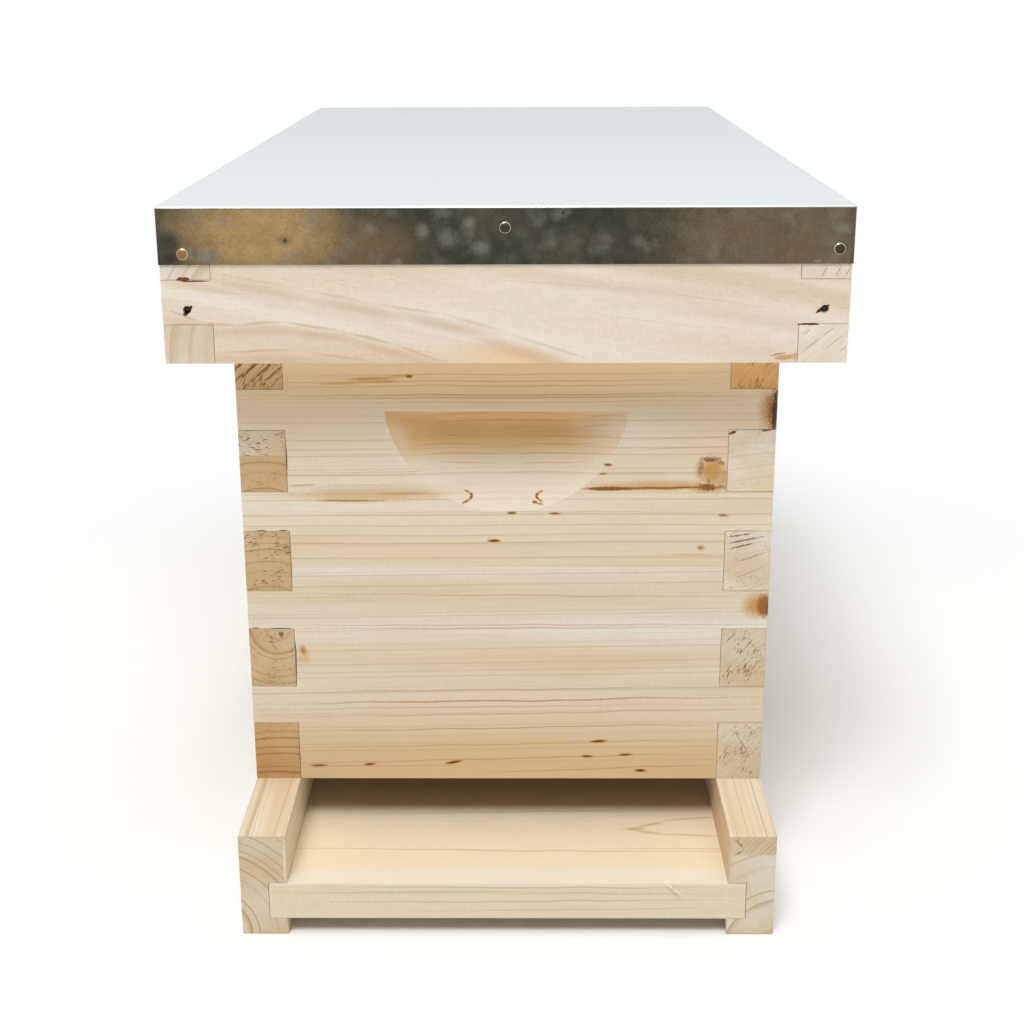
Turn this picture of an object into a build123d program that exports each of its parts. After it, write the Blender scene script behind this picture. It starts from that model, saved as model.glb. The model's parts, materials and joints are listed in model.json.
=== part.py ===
"""Five-frame nucleus beehive: bottom board, finger-jointed brood box, hanging frames, inner cover and roof.

Millimetres. +Z is up, +X is to the right of someone who faces the entrance, and the entrance faces -Y.
The origin is on the ground, under the middle of the whole hive.
"""
from build123d import *
import os
from math import sqrt

# Brood box
box_width = 229.0
box_length = 505.0
box_height = 244.5
wall = 20.0
side_finger = 27.7
front_finger = 17.7
joint_gap = 0.15
frame_rest_depth = 16.0
frame_rest_width = 10.0

# Handhold scooped into the front and the back board
handhold_width = 104.0
handhold_height = 45.0
handhold_depth = 12.0
handhold_drop = 72.5

# Bottom board
rail_height = 47.0
rail_width = 20.0
rail_cap_height = 9.0
landing = 54.0
floor_thickness = 17.0
floor_lift = 7.5
floor_groove = 8.0
floor_play = 0.2
plank_count = 5
tongue_length = 6.0
tongue_thickness = 5.5

# Hanging frames
frame_pitch = 35.0
frame_play = 0.4
bee_space_above = 6.0
bee_space_below = 6.5
bee_space_ends = 8.5
lug_play = 1.5
top_bar_width = 27.0
top_bar_height = 19.0
top_bar_neck = 22.0
end_bar_thickness = 9.5
end_bar_shoulder = 88.0
end_bar_taper = 16.0
end_bar_foot_width = 28.6
bottom_bar_width = 19.0
bottom_bar_height = 9.5
foundation_thickness = 2.6
foundation_groove = 3.5
foundation_play = 0.2
wire_hole = 2.8
wire_hole_count = 4
wire_hole_pitch = 48.0

# Inner cover
cover_height = 10.0
cover_strip = 22.0
cover_panel = 4.0
cover_panel_lift = 2.5
cover_groove = 8.0
cover_play = 0.2
escape_hole_length = 86.0
escape_hole_width = 29.0

# Roof
roof_clearance = 3.5
rim = 20.0
roof_skirt = 46.5
roof_side_finger = 16.0
roof_front_finger = 18.0
deck = 6.5
sheet = 0.6
sheet_drop = 23.4

# Domed nails that hold the sheet: insets from the roof's corners, drops below its top
sheet_nail_head = 5.0
sheet_nail_dome = 1.2
sheet_nail_shank = 2.0
sheet_nail_length = 16.0
sheet_nail_left_inset = 9.6
sheet_nail_left_drop = 19.1
sheet_nail_middle_drop = 8.8
sheet_nail_right_inset = 5.5
sheet_nail_right_drop = 17.4
sheet_nail_side_inset = 28.0
sheet_nail_side_drop = 18.0
sheet_nail_spaces = 3

# Flat-headed nails: sunk in the roof's corner fingers, flush in the rails
wood_nail_head = 3.2
wood_nail_head_height = 1.0
wood_nail_shank = 2.0
rim_nail_length = 38.0
rim_nail_sink = 1.5
rim_nail_lift = 6.0
rail_nail_length = 42.0
rail_nail_edge = 12.0
nail_play = 0.05

# How far a cutter runs past the face it starts from
past = 1.0

# Places worked out from the sizes above
overhang = roof_clearance + rim
roof_width = box_width + 2 * overhang
roof_length = box_length + 2 * overhang
rail_length = landing + box_length
overall_length = rail_length + overhang + sheet + sheet_nail_dome
front = -overall_length / 2
back = front + rail_length
box_front = front + landing
box_back = box_front + box_length
box_middle = (box_front + box_back) / 2
inner_width = box_width - 2 * wall
inner_length = box_length - 2 * wall
box_top = rail_height + box_height
cover_top = box_top + cover_height
rim_bottom = box_top - roof_skirt
rim_height = cover_top - rim_bottom
deck_top = cover_top + deck
roof_top = deck_top + sheet
roof_front = box_middle - roof_length / 2
roof_back = box_middle + roof_length / 2
floor_span = box_width - 2 * rail_width
floor_middle = floor_lift + floor_thickness / 2
floor_groove_height = floor_thickness + 2 * floor_play


def block(low, high):
    """A plain block between two opposite corners."""
    middle = [(a + b) / 2 for a, b in zip(low, high)]
    return Pos(*middle) * Box(*[b - a for a, b in zip(low, high)])


def together(shapes):
    """Several separate solids as one group."""
    return Compound(children=list(shapes))


def front_finger_spans(height, side, between, least_top):
    """Heights of an end board's fingers, each on a side finger, with least_top or more left above them."""
    pitch = side + between
    count = int((height - least_top) // pitch)
    return [(i * pitch + side, (i + 1) * pitch) for i in range(count)]


def side_finger_spans(height, front_spans):
    """Heights of the side board's fingers, which fill what the end board's fingers leave."""
    starts = [0] + [high for low, high in front_spans]
    ends = [low for low, high in front_spans] + [height]
    return list(zip(starts, ends))


def fingered_outline(length, height, sockets, depth, gap):
    """A board's face, standing on its lower edge, with the same sockets cut into both ends."""
    outline = Pos(0, height / 2) * Rectangle(length, height)
    for low, high in sockets:
        socket = Rectangle(2 * depth, high - low + 2 * gap)
        for end in (-1, 1):
            outline -= Pos(end * length / 2, (low + high) / 2) * socket
    return outline


def end_board(width, height, spans, thickness):
    """An end board of a finger-jointed frame, its outer face on Y = 0 and its inner face behind it."""
    sockets = side_finger_spans(height, spans)
    outline = fingered_outline(width, height, sockets, thickness + joint_gap, 0)
    return extrude(Plane.XZ * outline, -thickness)


def side_board(length, height, spans, thickness):
    """A side board of a finger-jointed frame, its outer face on X = 0 and its inner face at +X."""
    outline = fingered_outline(length, height, spans, thickness + joint_gap, joint_gap)
    return extrude(Plane.YZ * outline, thickness)


def handhold():
    """The cutter's dip: part of a ball, cut off flat at the ledge that the fingers hook under."""
    half = handhold_width / 2
    stand_off = (half**2 - handhold_depth**2) / (2 * handhold_depth)
    mouth = (half**2 + handhold_height**2) / (2 * handhold_height)
    radius = sqrt(stand_off**2 + mouth**2)
    ball = Pos(0, -stand_off, mouth - handhold_height) * Sphere(radius)
    dip = split(ball, Plane.XY, keep=Keep.BOTTOM)
    return Pos(0, 0, box_height - handhold_drop) * dip


def brood_box():
    """Four finger-jointed boards; the frames hang on rests cut into the two end boards."""
    spans = front_finger_spans(box_height, side_finger, front_finger, frame_rest_depth)
    rest = block(
        (-box_width / 2, wall - frame_rest_width, box_height - frame_rest_depth),
        (box_width / 2, wall + past, box_height + past),
    )
    end = end_board(box_width, box_height, spans, wall) - rest - handhold()
    side = side_board(box_length, box_height, spans, wall)
    return {
        "box_front_board": Pos(0, box_front, rail_height) * end,
        "box_back_board": Pos(0, box_back, rail_height) * Rot(0, 0, 180) * end,
        "box_left_board": Pos(-box_width / 2, box_middle, rail_height) * side,
        "box_right_board": Pos(box_width / 2, box_middle, rail_height) * Rot(0, 0, 180) * side,
    }


def nail(head, head_height, shank, length, domed):
    """A nail along +Y with its head's underside on Y = 0 and its point at Y = length."""
    dome_radius = (head**2 / 4 + head_height**2) / (2 * head_height)
    with BuildSketch(Plane.XY) as half:
        with BuildLine():
            tip = Line((0, length), (shank / 2, length - shank))
            side = Line(tip @ 1, (shank / 2, 0))
            under = Line(side @ 1, (head / 2, 0))
            if domed:
                crown = RadiusArc(under @ 1, (0, -head_height), dome_radius)
            else:
                crown = Polyline(under @ 1, (head / 2, -head_height), (0, -head_height))
            Line(crown @ 1, (0, length))
        make_face()
    return revolve(half.sketch, Axis.Y)


def drilled(radius, start, end):
    """The cutter of a round hole along +Y."""
    return Pos(0, (start + end) / 2, 0) * Rot(90, 0, 0) * Cylinder(radius, end - start)


def wood_nail(length):
    """A flat-headed nail, and the hole that it and its punch leave."""
    hole = drilled(wood_nail_shank / 2 + nail_play, -past, length + nail_play)
    hole += drilled(wood_nail_head / 2 + nail_play, -rim, 0)
    return nail(wood_nail_head, wood_nail_head_height, wood_nail_shank, length, False), hole


def plank(index, width):
    """One floor plank, its lower front edge on Y = 0, with a tongue behind and a groove in front."""
    outline = Pos(width / 2, 0) * Rectangle(width, floor_thickness)
    if index < plank_count - 1:
        outline += Pos(width, 0) * Rectangle(2 * tongue_length, tongue_thickness)
    if index > 0:
        groove = Rectangle(2 * (tongue_length + floor_play), tongue_thickness + 2 * floor_play)
        outline -= groove
    length = floor_span + 2 * (floor_groove - floor_play)
    return Pos(-length / 2, 0, floor_middle) * extrude(Plane.YZ * outline, length)


def rail_outline(height):
    """A rail's end: outer edge on 0, foot on the ground, and the floor's groove at rail_width."""
    outline = Pos(rail_width / 2, height / 2) * Rectangle(rail_width, height)
    return outline - Pos(rail_width, floor_middle) * Rectangle(2 * floor_groove, floor_groove_height)


def bottom_board():
    """Two side rails and a back rail, grooved round a floor of planks that runs out as a landing."""
    outer = box_width / 2
    left = extrude(Plane.XZ * rail_outline(rail_height), -rail_length)
    right = extrude(Plane.XZ * rail_outline(rail_height - rail_cap_height), -rail_length)
    closing = extrude(Plane.YZ * rail_outline(rail_height), floor_span / 2, both=True)
    nodes = {
        "left_rail": Pos(-outer, front, 0) * left,
        "right_rail": Pos(outer, front, 0) * mirror(right, Plane.YZ),
        "back_rail": Pos(0, back, 0) * mirror(closing, Plane.XZ),
    }

    floor_length = rail_length - rail_width + floor_groove - floor_play
    width = (floor_length - floor_play * (plank_count - 1)) / plank_count
    starts = [front + i * (width + floor_play) for i in range(plank_count)]
    for i, start in enumerate(starts):
        nodes[f"floor_plank_{i + 1}"] = Pos(0, start, 0) * plank(i, width)

    places = [(start + width / 2, floor_middle) for start in starts[:-1]]
    for z in (rail_nail_edge, rail_height - rail_cap_height - rail_nail_edge):
        places.append((back - rail_width / 2, z))
    one, hole = wood_nail(rail_nail_length)
    spots = []
    for side in (-1, 1):
        for y, z in places:
            spots.append(Pos(side * (outer - wood_nail_head_height), y, z) * Rot(0, 0, side * 90))
    holes = together(spot * hole for spot in spots)
    nodes = {name: shape - holes for name, shape in nodes.items()}
    nodes["bottom_board_nails"] = together(spot * one for spot in spots)
    nodes["right_rail_cap"] = block(
        (outer - rail_width, front, rail_height - rail_cap_height), (outer, back, rail_height)
    )
    return nodes


def hanging_frame():
    """The five pieces of one frame, its middle plane on X = 0 and its top bar's upper face on Z = 0."""
    height = box_height - bee_space_above - bee_space_below
    lug_height = frame_rest_depth - bee_space_above
    lug_end = inner_length / 2 + frame_rest_width - lug_play
    outside = inner_length / 2 - bee_space_ends
    inside = outside - end_bar_thickness
    end_bar_middle = (inside + outside) / 2
    groove = (foundation_thickness + 2 * foundation_play, 2 * inside, 2 * foundation_groove)

    side_view = Pos(0, -top_bar_height / 2) * Rectangle(2 * lug_end, top_bar_height)
    under_lug = Rectangle(2 * (lug_end - inside + joint_gap), 2 * (top_bar_height - lug_height))
    for end in (-1, 1):
        side_view -= Pos(end * lug_end, -top_bar_height) * under_lug
    top_bar = extrude(Plane.YZ * side_view, top_bar_width / 2, both=True)
    notch = Box(top_bar_width - top_bar_neck, end_bar_thickness + 2 * joint_gap, 2 * top_bar_height)
    for x in (-1, 1):
        for y in (-1, 1):
            top_bar -= Pos(x * top_bar_width / 2, y * end_bar_middle, 0) * notch
    top_bar -= Pos(0, 0, -top_bar_height) * Box(*groove)

    shoulder = (frame_pitch - frame_play) / 2
    foot = end_bar_foot_width / 2
    with BuildSketch(Plane.XZ) as end_view:
        with BuildLine():
            Polyline(
                (0, 0),
                (shoulder, 0),
                (shoulder, -end_bar_shoulder),
                (foot, -end_bar_shoulder - end_bar_taper),
                (foot, -height),
                (0, -height),
                close=True,
            )
        make_face()
        mirror(about=Plane.YZ)
        Rectangle(top_bar_neck + 2 * joint_gap, 2 * lug_height, mode=Mode.SUBTRACT)
        with Locations((0, -height)):
            Rectangle(bottom_bar_width + 2 * joint_gap, 2 * bottom_bar_height, mode=Mode.SUBTRACT)
        with Locations((0, -height / 2)):
            with GridLocations(0, wire_hole_pitch, 1, wire_hole_count):
                Circle(wire_hole / 2, mode=Mode.SUBTRACT)
    end_bar = extrude(end_view.sketch, end_bar_thickness / 2, both=True)

    bottom_bar = Pos(0, 0, -bottom_bar_height / 2) * Box(bottom_bar_width, 2 * outside, bottom_bar_height)
    bottom_bar = Pos(0, 0, bottom_bar_height - height) * (bottom_bar - Box(*groove))

    seat = foundation_groove - foundation_play
    reach = inside - foundation_play
    foundation = block(
        (-foundation_thickness / 2, -reach, bottom_bar_height - height - seat),
        (foundation_thickness / 2, reach, seat - top_bar_height),
    )
    return {
        "top_bar": top_bar,
        "front_end_bar": Pos(0, -end_bar_middle, 0) * end_bar,
        "back_end_bar": Pos(0, end_bar_middle, 0) * end_bar,
        "bottom_bar": bottom_bar,
        "foundation": foundation,
    }


def frames():
    """As many frames as the box takes side by side, hung on its rests."""
    count = int(inner_width // frame_pitch)
    nodes = {}
    for i in range(count):
        place = Pos((i - (count - 1) / 2) * frame_pitch, box_middle, box_top - bee_space_above)
        for name, piece in hanging_frame().items():
            nodes[f"frame_{i + 1}_{name}"] = place * piece
    return nodes


def inner_cover():
    """A plywood panel with the oval escape hole, held in the grooves of four strips with stub tenons."""
    groove_middle = cover_panel_lift + cover_panel / 2
    strip = Pos(cover_strip / 2, cover_height / 2) * Rectangle(cover_strip, cover_height)
    strip -= Pos(cover_strip, groove_middle) * Rectangle(2 * cover_groove, cover_panel + 2 * cover_play)
    across = Pos(0, box_front, box_top) * extrude(Plane.YZ * strip, box_width / 2, both=True)

    between = box_length - 2 * cover_strip
    tenon_length = between + 2 * (cover_groove - cover_play)
    tenon_width = cover_strip - cover_groove - cover_play
    along = extrude(Plane.XZ * strip, between / 2, both=True)
    along += Pos(tenon_width / 2, 0, groove_middle) * Box(tenon_width, tenon_length, cover_panel)
    along = Pos(-box_width / 2, box_middle, box_top) * along

    margin = 2 * (cover_strip - cover_groove + cover_play)
    panel = Rectangle(box_width - margin, box_length - margin)
    panel -= Rot(0, 0, 90) * SlotOverall(escape_hole_length, escape_hole_width)
    panel = Pos(0, box_middle, box_top + cover_panel_lift) * extrude(panel, cover_panel)
    half_turn = Pos(0, box_middle, 0) * Rot(0, 0, 180) * Pos(0, -box_middle, 0)
    return {
        "inner_cover_panel": panel,
        "inner_cover_front_strip": across,
        "inner_cover_back_strip": half_turn * across,
        "inner_cover_left_strip": along,
        "inner_cover_right_strip": half_turn * along,
    }


def sheet_nail_spots():
    """Where each sheet nail stands, on the sheet's outer face and pointing inwards."""
    half = roof_width / 2
    ends = (
        (sheet_nail_left_inset - half, sheet_nail_left_drop),
        (0, sheet_nail_middle_drop),
        (half - sheet_nail_right_inset, sheet_nail_right_drop),
    )
    spots = []
    for side, turn in ((-1, 0), (1, 180)):
        for x, drop in ends:
            y = box_middle + side * roof_length / 2
            spots.append(Pos(-side * x, y, roof_top - drop) * Rot(0, 0, turn))
    step = (roof_length - 2 * sheet_nail_side_inset) / sheet_nail_spaces
    for side in (-1, 1):
        for i in range(sheet_nail_spaces + 1):
            y = box_middle + (i - sheet_nail_spaces / 2) * step
            spots.append(Pos(side * half, y, roof_top - sheet_nail_side_drop) * Rot(0, 0, side * 90))
    return [spot * Pos(0, -sheet, 0) for spot in spots]


def rim_nail_spots(spans):
    """Where the sunk nails stand: one through each end board's finger into the side board behind it."""
    spots = []
    for turn, y in ((0, roof_front), (180, roof_back)):
        for x in (-1, 1):
            for low, high in spans:
                corner = Pos(x * (roof_width - rim) / 2, y, rim_bottom + low + rim_nail_lift)
                spots.append(corner * Rot(0, 0, turn) * Pos(0, rim_nail_sink + wood_nail_head_height, 0))
    return spots


def roof():
    """A finger-jointed rim that drops over the box, a deck on it, and a folded sheet nailed round it."""
    spans = front_finger_spans(rim_height, roof_side_finger, roof_front_finger, roof_side_finger)
    end = end_board(roof_width, rim_height, spans, rim)
    side = side_board(roof_length, rim_height, spans, rim)
    low = (-roof_width / 2, roof_front, rim_bottom)
    high = (roof_width / 2, roof_back, deck_top)
    tray = Pos(0, box_middle, roof_top - sheet_drop) * extrude(
        Rectangle(roof_width + 2 * sheet, roof_length + 2 * sheet), sheet_drop
    )
    bends = tray.edges().filter_by(Axis.Z) + tray.faces().sort_by(Axis.Z)[-1].edges()
    nodes = {
        "roof_front_rim": Pos(0, roof_front, rim_bottom) * end,
        "roof_back_rim": Pos(0, roof_back, rim_bottom) * Rot(0, 0, 180) * end,
        "roof_left_rim": Pos(-roof_width / 2, box_middle, rim_bottom) * side,
        "roof_right_rim": Pos(roof_width / 2, box_middle, rim_bottom) * Rot(0, 0, 180) * side,
        "roof_sheet": fillet(bends, sheet) - block(low, high),
    }

    sheet_nail = nail(sheet_nail_head, sheet_nail_dome, sheet_nail_shank, sheet_nail_length, True)
    sheet_hole = drilled(sheet_nail_shank / 2 + nail_play, -past, sheet_nail_length + nail_play)
    rim_nail, rim_hole = wood_nail(rim_nail_length)
    sheet_spots = sheet_nail_spots()
    rim_spots = rim_nail_spots(spans)
    holes = together([spot * sheet_hole for spot in sheet_spots] + [spot * rim_hole for spot in rim_spots])
    nodes = {name: shape - holes for name, shape in nodes.items()}
    nodes["roof_deck"] = block((low[0], low[1], cover_top), high)
    nodes["roof_sheet_nails"] = together(spot * sheet_nail for spot in sheet_spots)
    nodes["roof_rim_nails"] = together(spot * rim_nail for spot in rim_spots)
    return nodes


os.makedirs("parts", exist_ok=True)
for make in (bottom_board, brood_box, frames, inner_cover, roof):
    for name, shape in make().items():
        export_step(shape, f"parts/{name}.step")
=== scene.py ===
"""Looks of a five-frame nucleus beehive: sawn boards, folded sheet, nails, wax foundation and a plain stage."""
import json
import random
from functools import partial
from math import cos, radians, sin
from typing import NamedTuple

import bmesh
import bpy
from mathutils import Euler, Matrix, Vector


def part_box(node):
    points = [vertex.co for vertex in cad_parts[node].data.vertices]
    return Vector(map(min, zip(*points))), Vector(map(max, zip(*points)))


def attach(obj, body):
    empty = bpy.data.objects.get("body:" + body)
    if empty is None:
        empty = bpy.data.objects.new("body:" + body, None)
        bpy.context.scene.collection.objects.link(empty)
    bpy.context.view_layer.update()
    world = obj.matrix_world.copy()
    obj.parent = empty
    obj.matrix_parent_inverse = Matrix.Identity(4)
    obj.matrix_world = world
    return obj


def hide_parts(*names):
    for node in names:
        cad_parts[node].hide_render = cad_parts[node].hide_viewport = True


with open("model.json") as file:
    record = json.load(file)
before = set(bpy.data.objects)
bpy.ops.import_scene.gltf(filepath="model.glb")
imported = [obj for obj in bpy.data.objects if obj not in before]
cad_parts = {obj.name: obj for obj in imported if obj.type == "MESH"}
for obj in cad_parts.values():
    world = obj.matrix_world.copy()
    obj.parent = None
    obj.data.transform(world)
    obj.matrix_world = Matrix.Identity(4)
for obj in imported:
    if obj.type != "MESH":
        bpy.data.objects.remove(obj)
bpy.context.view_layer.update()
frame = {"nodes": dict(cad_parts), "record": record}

bl_info = {
    "name": "Nucleus beehive",
    "version": (1, 0, 0),
    "blender": (4, 5, 0),
    "location": "3D View > Sidebar > Beehive",
    "description": "Dresses a five-frame nucleus beehive in sawn wood, galvanised sheet and wax",
    "category": "Object",
}

MM = 0.001
# Points of a CAD mesh that are nearer to each other than this are one point
WELD = 0.001 * MM
# A face whose normal has a part larger than this is square to an axis
SQUARE = 0.999
BOX_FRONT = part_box("box_front_board")[0].y / MM
RIM_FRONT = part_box("roof_front_rim")[0].y / MM
RAIL_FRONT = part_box("left_rail")[0].y / MM
RAIL_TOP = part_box("left_rail")[1].z / MM
FLOOR_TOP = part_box("floor_plank_1")[1].z / MM
SHEET_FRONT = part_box("roof_sheet")[0].y / MM

# The handhold in millimetres: half its width, its foot, its ledge and half its depth
DIP_HALF_WIDTH, DIP_FOOT, DIP_LEDGE, DIP_MIDDLE = 53, 172, 219.5, 7
# Heights between which the painted shade under the handhold's ledge sets in, heights between which the handhold
# grows paler towards its foot, and the x between which the painted shade fades to the right
SHADED_HEIGHTS, PALER_HEIGHTS, SHADE_FADE_X = (192, 206), (202, 190), (20, 50)
# The middle and half height of the painted bounce light on the rails' inner faces above the floor
RAIL_SIDE_MIDDLE, RAIL_SIDE_HALF = RAIL_TOP - 12, 18

# Camera fitted to the photo: its place in millimetres, and its pitch, yaw and roll in degrees
CAMERA_PLACE = (8.2, -918.85, 390.7)
CAMERA_TURN = (17.64, 0.51, -0.20)
# Softbox: the point it faces, its bearing and height in degrees, its distance and its width in metres
SOFTBOX_AIM = (0, -0.1, 0.15)
SOFTBOX_BEARING, SOFTBOX_HEIGHT = -12, 57
SOFTBOX_AWAY, SOFTBOX_WIDTH = 3.0, 1.0
# Half the floor's width in metres, and how far it lies below the feet
FLOOR_REACH, FLOOR_GAP = 20, 0.2 * MM


class Stave(NamedTuple):
    """One strip of a board. Places are in millimetres of the row frame, across the board and through it."""

    top: float
    pith: tuple
    spacing: float = 14.0
    contrast: float = 0.6
    tone: tuple = (1.0, 1.0, 1.0)
    tilt: tuple = (0.0, 0.0)
    torn: float = 0.5
    soak: float = 1.0


class Mark(NamedTuple):
    """A spot or streak: its centre and half sizes in millimetres, and its turns about the axes in degrees."""

    place: tuple
    half: tuple
    turn: tuple = (0.0, 0.0, 0.0)
    strength: float = 1.0


def on_face(y, depth, rows, swell=0.0):
    """Marks on a front face, from rows of x, z, half length, half height, tilt and strength."""
    return [
        Mark((x, y, z), (a + swell, depth, b + swell), (0, tilt, 0), strength)
        for x, z, a, b, tilt, strength in rows
    ]


def on_top(z, depth, rows):
    """Marks on an upper face, from rows of x, y, half length, half width, tilt and strength."""
    return [Mark((x, y, z), (a, b, depth), (0, 0, tilt), strength) for x, y, a, b, tilt, strength in rows]


def srgb(code):
    """An sRGB hex colour as linear red, green, blue and alpha."""
    parts = [int(code[i : i + 2], 16) / 255 for i in (1, 3, 5)]
    return [p / 12.92 if p <= 0.04045 else ((p + 0.055) / 1.055) ** 2.4 for p in parts] + [1.0]


def colour(name, description, code):
    """A colour that a user may change."""
    return bpy.props.FloatVectorProperty(
        name=name, description=description, default=srgb(code), size=4, min=0, max=1, subtype="COLOR"
    )


def size(name, description, millimetres):
    """A length that a user may change."""
    return bpy.props.FloatProperty(
        name=name, description=description, default=millimetres * MM, min=0, precision=5, unit="LENGTH"
    )


class HiveWood(bpy.types.PropertyGroup):
    """Tones of the boards, and how their edges are eased."""

    fir: colour("Fir", "Pale early wood of the box and the bottom board", "#EEE6D5")
    fir_tan: colour("Tan fir", "Warmer bands in the fir", "#E3CEAA")
    fir_ring: colour("Fir rings", "Late wood lines in the fir", "#B98A44")
    pine: colour("Pine", "Pale early wood of the roof and the frames", "#F0E6D7")
    pine_tan: colour("Tan pine", "Warmer bands in the pine", "#E6D2B5")
    pine_ring: colour("Pine rings", "Late wood bands in the pine", "#D2AE88")
    veneer: colour("Veneer", "Peeled face of the plywood", "#DDBF92")
    # Partly painted shade: on the box's front this band stands partly for the roof's shadow and its warm
    # bounce; on the roof's rim it is the pine's own tone
    warm: colour("Warm fir", "Reddish band under the roof", "#F2CC9F")
    tan: colour("Tan band", "Darker foot of the box's front", "#DCBB8C")
    landing: colour("Landing", "Golden wood of the landing board", "#F2E2C4")
    # Painted shade: the handhold's ledge shades the top of the hollow below it, and this colour stands for that
    # shadow with its warm bounce
    ledge_shade: colour("Scorch", "Wood that the cutter of the handhold has browned", "#E2B476")
    amber: colour("Amber", "Soft halos of resin and small knots", "#C88F34")
    resin: colour("Resin", "Resin streaks and the hearts of knots", "#8A4A14")
    pitch: colour("Pitch", "Short pitch pockets", "#52290A")
    pit: colour("Pits", "Torn end grain", "#7A4A1E")
    bark: colour("Bark", "Bark, torn holes and open gaps", "#3A2110")
    arris: size("Arris", "How far the boards' edges are eased", 0.15)


class HiveMetal(bpy.types.PropertyGroup):
    """Tones of the sheet, the nails and the wax, and the sheet's bends."""

    frost: colour("Frost", "Pale crystals on the sides of the sheet", "#7E7E72")
    zinc: colour("Zinc", "Clean upper side of the sheet", "#DDE2E4")
    # Painted reflections: the dark room and the warm surroundings that the sheet's sides reflect, painted into
    # their colour
    dark_reflection: colour("Dull zinc", "Weathered sides of the sheet", "#3F4038")
    brown_reflection: colour("Brown zinc", "Brown film on the sides of the sheet", "#6E614C")
    tan: colour("Tan zinc", "Tan film on the sides of the sheet", "#AB8D61")
    # Painted light on the nail heads: the bright rim is a painted highlight and the dark middle a painted dark
    # reflection; the rust is the nail's own
    nail: colour("Nail", "Bright rim of the nail heads", "#CFC8B4")
    rust: colour("Rust", "Rusty middle of a nail head", "#93714A")
    nail_dark_reflection: colour("Dark nail", "Dull middle of the nail heads", "#454032")
    wax: colour("Wax", "Pressed beeswax foundation", "#DFA93F")
    bloom: colour("Bloom", "Pale powdery bloom on the wax", "#EFCB82")
    cell: size("Cell", "Width of a cell pressed in the wax", 5.4)
    dimple: size("Dimple", "Depth of a cell's pressed base", 1.1)
    bend: size("Bend", "Outer radius of the sheet's bends", 1.4)
    gauge: size("Gauge", "Thickness of the sheet", 0.6)


class HiveStage(bpy.types.PropertyGroup):
    """Floor, light and camera."""

    floor: colour("Floor", "Plain pale floor, as the hive sees it", "#EEEEEC")
    sky: bpy.props.FloatProperty(name="Sky", description="Soft light from above", default=2.0, min=0)
    glow: bpy.props.FloatProperty(
        name="Walls", description="Soft low light from all round", default=2.15, min=0
    )
    key: bpy.props.FloatProperty(
        name="Softbox", description="Power of the softbox above the front", default=47, min=0, unit="POWER"
    )
    lens: bpy.props.FloatProperty(
        name="Lens", description="Focal length", default=58.15, min=1, unit="CAMERA"
    )


# The setting that a word after a node's kind gives, as in "Math MULTIPLY"
CHOICES = {"Math": "operation", "VectorMath": "operation", "Mix": "data_type", "MapRange": "interpolation_type"}


def add(tree, kind, inputs=(), output=None, **settings):
    """Adds one node with its settings, sets or links its inputs in order, and gives back an output."""
    kind, _, choice = kind.partition(" ")
    made = tree.nodes.new("ShaderNode" + kind)
    if choice:
        setattr(made, CHOICES[kind], choice)
    for name, value in settings.items():
        setattr(made, name, value)
    for socket, value in zip([s for s in made.inputs if s.enabled], inputs):
        if isinstance(value, bpy.types.NodeSocket):
            tree.links.new(value, socket)
        elif value is not None:
            socket.default_value = value
    return next((s for s in made.outputs if s.enabled and output in (None, s.name)), None)


def start_material(name):
    """A new material, the function that adds nodes to it, and its shader."""
    material = bpy.data.materials.new(name)
    material.use_nodes = True
    return material, partial(add, material.node_tree), material.node_tree.nodes["Principled BSDF"]


def wire(shader, **sources):
    """Sets or links sockets of a shader; base_color stands for its Base Color socket, and so on."""
    for name, source in sources.items():
        socket = next(s for s in shader.inputs if s.name.lower().replace(" ", "_") == name)
        if isinstance(source, bpy.types.NodeSocket):
            shader.id_data.links.new(source, socket)
        else:
            socket.default_value = source


def marked(node, below, paint, marks, ragged=0.5, soft=0.6):
    """Paints marks over a colour. Each is an egg-shaped spot in the solid, with an uneven edge."""
    place = node("TexCoord", output="Object")
    edge = node("TexNoise", [place, 0.9 / MM, 2.0])
    waver = node("TexNoise", [place, 1 / (35 * MM), 2.0], output="Color")
    waver = node("VectorMath SUBTRACT", [waver, (0.5, 0.5, 0.5)])
    place = node("VectorMath MULTIPLY_ADD", [waver, (2.5 * MM, 2.5 * MM, 2.5 * MM), place])
    edge = node("Math MULTIPLY", [edge, ragged])
    cover = 0.0
    for mark in marks:
        # The ball is half as large again as the mark, so that the uneven edge has room
        centre = [c * MM for c in mark.place]
        half = [1.5 * h * MM for h in mark.half]
        angle = [radians(t) for t in mark.turn]
        near = node("Mapping", [place, centre, angle, half], vector_type="TEXTURE")
        ball = node("TexGradient", [near], output="Fac", gradient_type="SPHERICAL")
        inside = node("Math MULTIPLY_ADD", [ball, 1.5, ragged / 2 - 0.5])
        inside = node("Math SUBTRACT", [inside, edge])
        here = node("MapRange SMOOTHSTEP", [inside, 0, soft, 0, mark.strength])
        cover = node("Math MAXIMUM", [here, cover])
    return node("Mix RGBA", [cover, below, paint])


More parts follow.
